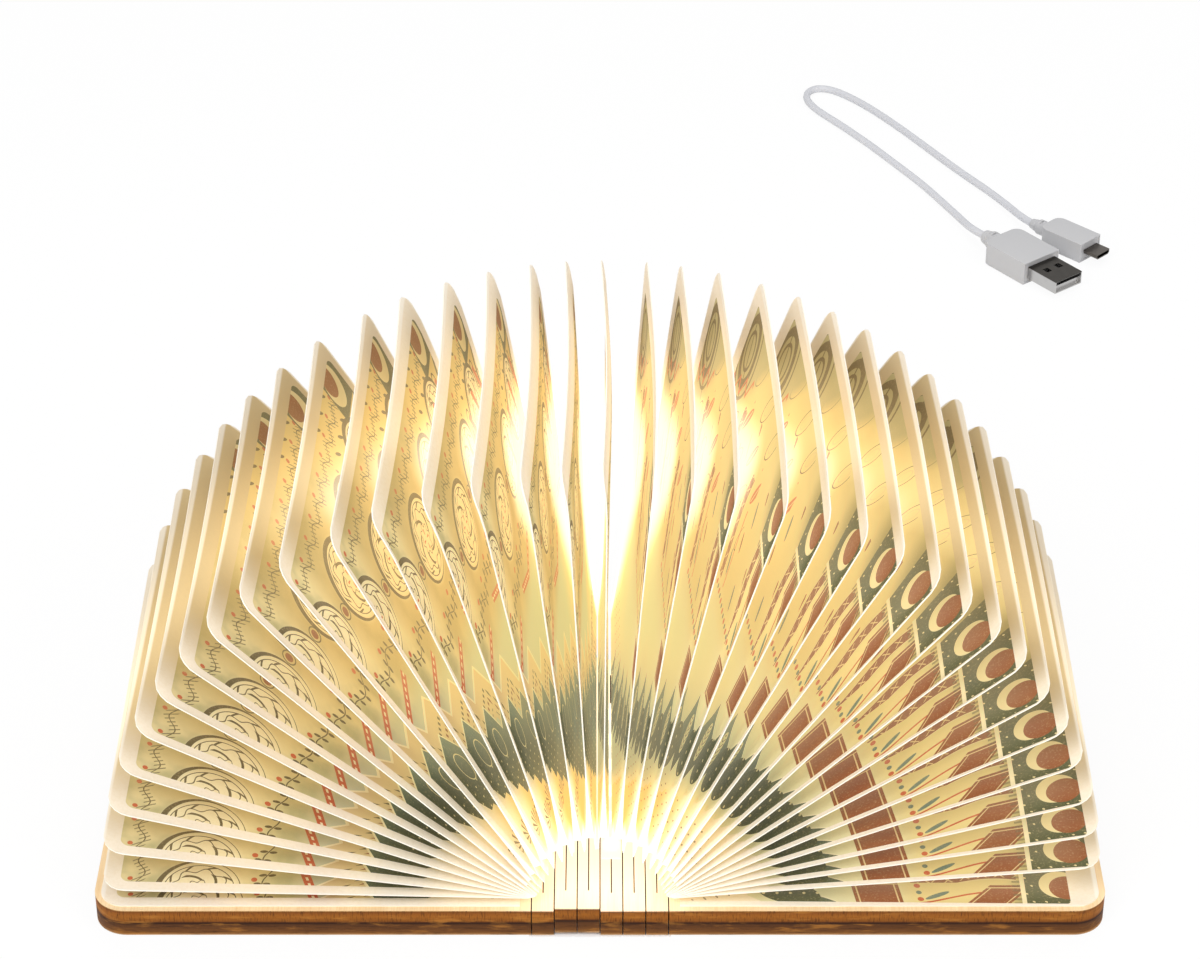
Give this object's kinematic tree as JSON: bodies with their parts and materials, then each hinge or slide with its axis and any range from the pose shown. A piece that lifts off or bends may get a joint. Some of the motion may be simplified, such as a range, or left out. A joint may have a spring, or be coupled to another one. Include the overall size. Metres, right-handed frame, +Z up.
{
  "type": "folding book lamp",
  "caption": "Rechargeable lamp shaped like a book: two wooden covers on a folding slatted spine open flat and spread a half disc of lit paper pages; charging cable beside it.",
  "frame": {"origin": "middle of the open lamp's base, on the table", "axes": "+X to the right across the open covers, +Y along the spine to the rear, +Z up"},
  "size_m": [0.3003, 0.4738, 0.1365],
  "materials": {
    "outer_wood": "laser-browned plywood",
    "inner_wood": "bare pale plywood",
    "page_paper": "uncoated printed paper",
    "strip_board": "white flexible circuit",
    "led": "yellow phosphor",
    "battery_foil": "foil pouch",
    "wire": "insulated wire",
    "circuit_board": "green solder mask",
    "steel": "bright plated steel",
    "dark_steel": "dark plated steel",
    "reed_glass": "glass tube",
    "magnet": "nickel-plated",
    "cable_jacket": "soft white jacket",
    "plug_plastic": "white moulded plastic"
  },
  "bodies": {
    "left_cover": {"left_outer_board": "outer_wood", "left_inner_board": "inner_wood", "left_endpaper": "page_paper", "battery_cell": "battery_foil", "battery_leads": "wire", "control_board": "circuit_board", "micro_usb_socket": "steel", "reed_switch": "reed_glass", "left_magnets": "magnet", "usb_cable": "cable_jacket", "usb_a_plug_body": "plug_plastic", "usb_a_plug_shell": "steel", "micro_usb_plug_body": "plug_plastic", "micro_usb_plug_shell": "dark_steel"},
    "slat_1": {"spine_slat_1": "inner_wood"},
    "slat_2": {"spine_slat_2": "inner_wood"},
    "slat_3": {"spine_slat_3": "inner_wood"},
    "slat_4": {"spine_slat_4": "inner_wood", "led_strip": "strip_board", "led_chips": "led"},
    "slat_5": {"spine_slat_5": "inner_wood"},
    "slat_6": {"spine_slat_6": "inner_wood"},
    "right_cover": {"right_outer_board": "outer_wood", "right_inner_board": "inner_wood", "right_endpaper": "page_paper", "right_magnets": "magnet"},
    "page_01": {"page_01": "page_paper"},
    "page_02": {"page_02": "page_paper"},
    "page_03": {"page_03": "page_paper"},
    "page_04": {"page_04": "page_paper"},
    "page_05": {"page_05": "page_paper"},
    "page_06": {"page_06": "page_paper"},
    "page_07": {"page_07": "page_paper"},
    "page_08": {"page_08": "page_paper"},
    "page_09": {"page_09": "page_paper"},
    "page_10": {"page_10": "page_paper"},
    "page_11": {"page_11": "page_paper"},
    "page_12": {"page_12": "page_paper"},
    "page_13": {"page_13": "page_paper"},
    "page_14": {"page_14": "page_paper"},
    "page_15": {"page_15": "page_paper"},
    "page_16": {"page_16": "page_paper"},
    "page_17": {"page_17": "page_paper"},
    "page_18": {"page_18": "page_paper"},
    "page_19": {"page_19": "page_paper"},
    "page_20": {"page_20": "page_paper"},
    "page_21": {"page_21": "page_paper"},
    "page_22": {"page_22": "page_paper"},
    "page_23": {"page_23": "page_paper"},
    "page_24": {"page_24": "page_paper"},
    "page_25": {"page_25": "page_paper"},
    "page_26": {"page_26": "page_paper"},
    "page_27": {"page_27": "page_paper"},
    "page_28": {"page_28": "page_paper"},
    "page_29": {"page_29": "page_paper"},
    "page_30": {"page_30": "page_paper"},
    "page_31": {"page_31": "page_paper"},
    "page_32": {"page_32": "page_paper"},
    "page_33": {"page_33": "page_paper"},
    "page_34": {"page_34": "page_paper"}
  },
  "joints": [
    {"name": "spine_fold_1", "type": "hinge", "parent": "left_cover", "child": "slat_1", "pos_m": [-0.01734, 0, 0.0079], "axis": [0, -1, 0], "range_deg": [0, 15]},
    {"name": "spine_fold_2", "type": "hinge", "parent": "slat_1", "child": "slat_2", "pos_m": [-0.01156, 0, 0.0087], "axis": [0, -1, 0], "range_deg": [0, 20]},
    {"name": "spine_fold_3", "type": "hinge", "parent": "slat_2", "child": "slat_3", "pos_m": [-0.00578, 0, 0.0087], "axis": [0, -1, 0], "range_deg": [0, 28]},
    {"name": "spine_fold_4", "type": "hinge", "parent": "slat_3", "child": "slat_4", "pos_m": [0, 0, 0.0087], "axis": [0, -1, 0], "range_deg": [0, 54]},
    {"name": "spine_fold_5", "type": "hinge", "parent": "slat_4", "child": "slat_5", "pos_m": [0.00578, 0, 0.0079], "axis": [0, -1, 0], "range_deg": [0, 28]},
    {"name": "spine_fold_6", "type": "hinge", "parent": "slat_5", "child": "slat_6", "pos_m": [0.01156, 0, 0.0079], "axis": [0, -1, 0], "range_deg": [0, 20]},
    {"name": "spine_fold_7", "type": "hinge", "parent": "slat_6", "child": "right_cover", "pos_m": [0.01734, 0, 0.0079], "axis": [0, -1, 0], "range_deg": [0, 15]},
    {"name": "page_01_turn", "type": "hinge", "parent": "slat_4", "child": "page_01", "pos_m": [-0.00538, 0, 0.01374], "axis": [0, -1, 0], "range_deg": [-113.82, 0]},
    {"name": "page_02_turn", "type": "hinge", "parent": "slat_4", "child": "page_02", "pos_m": [-0.00525, 0, 0.01381], "axis": [0, -1, 0], "range_deg": [-108.23, 0]},
    {"name": "page_03_turn", "type": "hinge", "parent": "slat_4", "child": "page_03", "pos_m": [-0.00514, 0, 0.01387], "axis": [0, -1, 0], "range_deg": [-102.61, 0]},
    {"name": "page_04_turn", "type": "hinge", "parent": "slat_4", "child": "page_04", "pos_m": [-0.00506, 0, 0.01393], "axis": [0, -1, 0], "range_deg": [-96.96, 0]},
    {"name": "page_05_turn", "type": "hinge", "parent": "slat_4", "child": "page_05", "pos_m": [-0.005, 0, 0.01397], "axis": [0, -1, 0], "range_deg": [-91.31, 0]},
    {"name": "page_06_turn", "type": "hinge", "parent": "slat_4", "child": "page_06", "pos_m": [-0.00498, 0, 0.01401], "axis": [0, -1, 0], "range_deg": [-85.65, 0]},
    {"name": "page_07_turn", "type": "hinge", "parent": "slat_4", "child": "page_07", "pos_m": [-0.00501, 0, 0.01404], "axis": [0, -1, 0], "range_deg": [-80, 0]},
    {"name": "page_08_turn", "type": "hinge", "parent": "slat_4", "child": "page_08", "pos_m": [-0.00508, 0, 0.01405], "axis": [0, -1, 0], "range_deg": [-74.38, 0]},
    {"name": "page_09_turn", "type": "hinge", "parent": "slat_4", "child": "page_09", "pos_m": [-0.00521, 0, 0.01406], "axis": [0, -1, 0], "range_deg": [-68.8, 0]},
    {"name": "page_10_turn", "type": "hinge", "parent": "slat_4", "child": "page_10", "pos_m": [-0.00541, 0, 0.01406], "axis": [0, -1, 0], "range_deg": [-63.26, 0]},
    {"name": "page_11_turn", "type": "hinge", "parent": "slat_4", "child": "page_11", "pos_m": [-0.0057, 0, 0.01404], "axis": [0, -1, 0], "range_deg": [-57.78, 0]},
    {"name": "page_12_turn", "type": "hinge", "parent": "slat_4", "child": "page_12", "pos_m": [-0.0061, 0, 0.01401], "axis": [0, -1, 0], "range_deg": [-52.37, 0]},
    {"name": "page_13_turn", "type": "hinge", "parent": "slat_4", "child": "page_13", "pos_m": [-0.00665, 0, 0.01397], "axis": [0, -1, 0], "range_deg": [-47.02, 0]},
    {"name": "page_14_turn", "type": "hinge", "parent": "slat_4", "child": "page_14", "pos_m": [-0.0074, 0, 0.01391], "axis": [0, -1, 0], "range_deg": [-41.76, 0]},
    {"name": "page_15_turn", "type": "hinge", "parent": "slat_4", "child": "page_15", "pos_m": [-0.00843, 0, 0.01384], "axis": [0, -1, 0], "range_deg": [-36.58, 0]},
    {"name": "page_16_turn", "type": "hinge", "parent": "slat_4", "child": "page_16", "pos_m": [-0.00985, 0, 0.01373], "axis": [0, -1, 0], "range_deg": [-31.47, 0]},
    {"name": "page_17_turn", "type": "hinge", "parent": "slat_4", "child": "page_17", "pos_m": [-0.01188, 0, 0.01359], "axis": [0, -1, 0], "range_deg": [-26.45, 0]},
    {"name": "page_18_turn", "type": "hinge", "parent": "slat_4", "child": "page_18", "pos_m": [-0.01493, 0, 0.01341], "axis": [0, -1, 0], "range_deg": [-21.51, 0]},
    {"name": "page_19_turn", "type": "hinge", "parent": "slat_4", "child": "page_19", "pos_m": [-0.01986, 0, 0.01313], "axis": [0, -1, 0], "range_deg": [-16.64, 0]},
    {"name": "page_20_turn", "type": "hinge", "parent": "slat_4", "child": "page_20", "pos_m": [-0.02891, 0, 0.01269], "axis": [0, -1, 0], "range_deg": [-11.83, 0]},
    {"name": "page_21_turn", "type": "hinge", "parent": "slat_4", "child": "page_21", "pos_m": [-0.05027, 0, 0.01173], "axis": [0, -1, 0], "range_deg": [-7.08, 0]},
    {"name": "page_22_turn", "type": "hinge", "parent": "slat_4", "child": "page_22", "pos_m": [-0.15713, 0, 0.00736], "axis": [0, -1, 0], "range_deg": [-2.38, 0]},
    {"name": "page_23_turn", "type": "hinge", "parent": "slat_4", "child": "page_23", "pos_m": [0.16847, 0, 0.02022], "axis": [0, -1, 0], "range_deg": [0, 2.33]},
    {"name": "page_24_turn", "type": "hinge", "parent": "slat_4", "child": "page_24", "pos_m": [0.05877, 0, 0.01571], "axis": [0, -1, 0], "range_deg": [0, 6.96]},
    {"name": "page_25_turn", "type": "hinge", "parent": "slat_4", "child": "page_25", "pos_m": [0.03714, 0, 0.0147], "axis": [0, -1, 0], "range_deg": [0, 11.59]},
    {"name": "page_26_turn", "type": "hinge", "parent": "slat_4", "child": "page_26", "pos_m": [0.02738, 0, 0.01401], "axis": [0, -1, 0], "range_deg": [0, 16.59]},
    {"name": "page_27_turn", "type": "hinge", "parent": "slat_4", "child": "page_27", "pos_m": [0.02223, 0, 0.01355], "axis": [0, -1, 0], "range_deg": [0, 21.6]},
    {"name": "page_28_turn", "type": "hinge", "parent": "slat_4", "child": "page_28", "pos_m": [0.01908, 0, 0.0132], "axis": [0, -1, 0], "range_deg": [0, 26.61]},
    {"name": "page_29_turn", "type": "hinge", "parent": "slat_4", "child": "page_29", "pos_m": [0.01699, 0, 0.01289], "axis": [0, -1, 0], "range_deg": [0, 31.63]},
    {"name": "page_30_turn", "type": "hinge", "parent": "slat_4", "child": "page_30", "pos_m": [0.01551, 0, 0.01261], "axis": [0, -1, 0], "range_deg": [0, 36.67]},
    {"name": "page_31_turn", "type": "hinge", "parent": "slat_4", "child": "page_31", "pos_m": [0.01442, 0, 0.01234], "axis": [0, -1, 0], "range_deg": [0, 41.72]},
    {"name": "page_32_turn", "type": "hinge", "parent": "slat_4", "child": "page_32", "pos_m": [0.0136, 0, 0.01208], "axis": [0, -1, 0], "range_deg": [0, 46.79]},
    {"name": "page_33_turn", "type": "hinge", "parent": "slat_4", "child": "page_33", "pos_m": [0.01297, 0, 0.01181], "axis": [0, -1, 0], "range_deg": [0, 51.88]},
    {"name": "page_34_turn", "type": "hinge", "parent": "slat_4", "child": "page_34", "pos_m": [0.01247, 0, 0.01154], "axis": [0, -1, 0], "range_deg": [0, 56.99]}
  ],
  "couplings": [
    {"joint": "spine_fold_1", "follows": "spine_fold_7", "ratio": 1},
    {"joint": "spine_fold_2", "follows": "spine_fold_7", "ratio": 1.3333},
    {"joint": "spine_fold_3", "follows": "spine_fold_7", "ratio": 1.8667},
    {"joint": "spine_fold_4", "follows": "spine_fold_7", "ratio": 3.6},
    {"joint": "spine_fold_5", "follows": "spine_fold_7", "ratio": 1.8667},
    {"joint": "spine_fold_6", "follows": "spine_fold_7", "ratio": 1.3333},
    {"joint": "page_01_turn", "follows": "spine_fold_7", "ratio": -7.5865},
    {"joint": "page_02_turn", "follows": "spine_fold_7", "ratio": -7.2142},
    {"joint": "page_03_turn", "follows": "spine_fold_7", "ratio": -6.8394},
    {"joint": "page_04_turn", "follows": "spine_fold_7", "ratio": -6.463},
    {"joint": "page_05_turn", "follows": "spine_fold_7", "ratio": -6.0857},
    {"joint": "page_06_turn", "follows": "spine_fold_7", "ratio": -5.7084},
    {"joint": "page_07_turn", "follows": "spine_fold_7", "ratio": -5.332},
    {"joint": "page_08_turn", "follows": "spine_fold_7", "ratio": -4.9573},
    {"joint": "page_09_turn", "follows": "spine_fold_7", "ratio": -4.585},
    {"joint": "page_10_turn", "follows": "spine_fold_7", "ratio": -4.2159},
    {"joint": "page_11_turn", "follows": "spine_fold_7", "ratio": -3.8506},
    {"joint": "page_12_turn", "follows": "spine_fold_7", "ratio": -3.4897},
    {"joint": "page_13_turn", "follows": "spine_fold_7", "ratio": -3.1336},
    {"joint": "page_14_turn", "follows": "spine_fold_7", "ratio": -2.7827},
    {"joint": "page_15_turn", "follows": "spine_fold_7", "ratio": -2.4371},
    {"joint": "page_16_turn", "follows": "spine_fold_7", "ratio": -2.097},
    {"joint": "page_17_turn", "follows": "spine_fold_7", "ratio": -1.7622},
    {"joint": "page_18_turn", "follows": "spine_fold_7", "ratio": -1.4325},
    {"joint": "page_19_turn", "follows": "spine_fold_7", "ratio": -1.1077},
    {"joint": "page_20_turn", "follows": "spine_fold_7", "ratio": -0.78729},
    {"joint": "page_21_turn", "follows": "spine_fold_7", "ratio": -0.47069},
    {"joint": "page_22_turn", "follows": "spine_fold_7", "ratio": -0.15726},
    {"joint": "page_23_turn", "follows": "spine_fold_7", "ratio": 0.1537},
    {"joint": "page_24_turn", "follows": "spine_fold_7", "ratio": 0.46299},
    {"joint": "page_25_turn", "follows": "spine_fold_7", "ratio": 0.77143},
    {"joint": "page_26_turn", "follows": "spine_fold_7", "ratio": 1.1049},
    {"joint": "page_27_turn", "follows": "spine_fold_7", "ratio": 1.4386},
    {"joint": "page_28_turn", "follows": "spine_fold_7", "ratio": 1.7728},
    {"joint": "page_29_turn", "follows": "spine_fold_7", "ratio": 2.1076},
    {"joint": "page_30_turn", "follows": "spine_fold_7", "ratio": 2.4433},
    {"joint": "page_31_turn", "follows": "spine_fold_7", "ratio": 2.78},
    {"joint": "page_32_turn", "follows": "spine_fold_7", "ratio": 3.118},
    {"joint": "page_33_turn", "follows": "spine_fold_7", "ratio": 3.4572},
    {"joint": "page_34_turn", "follows": "spine_fold_7", "ratio": 3.7979}
  ]
}
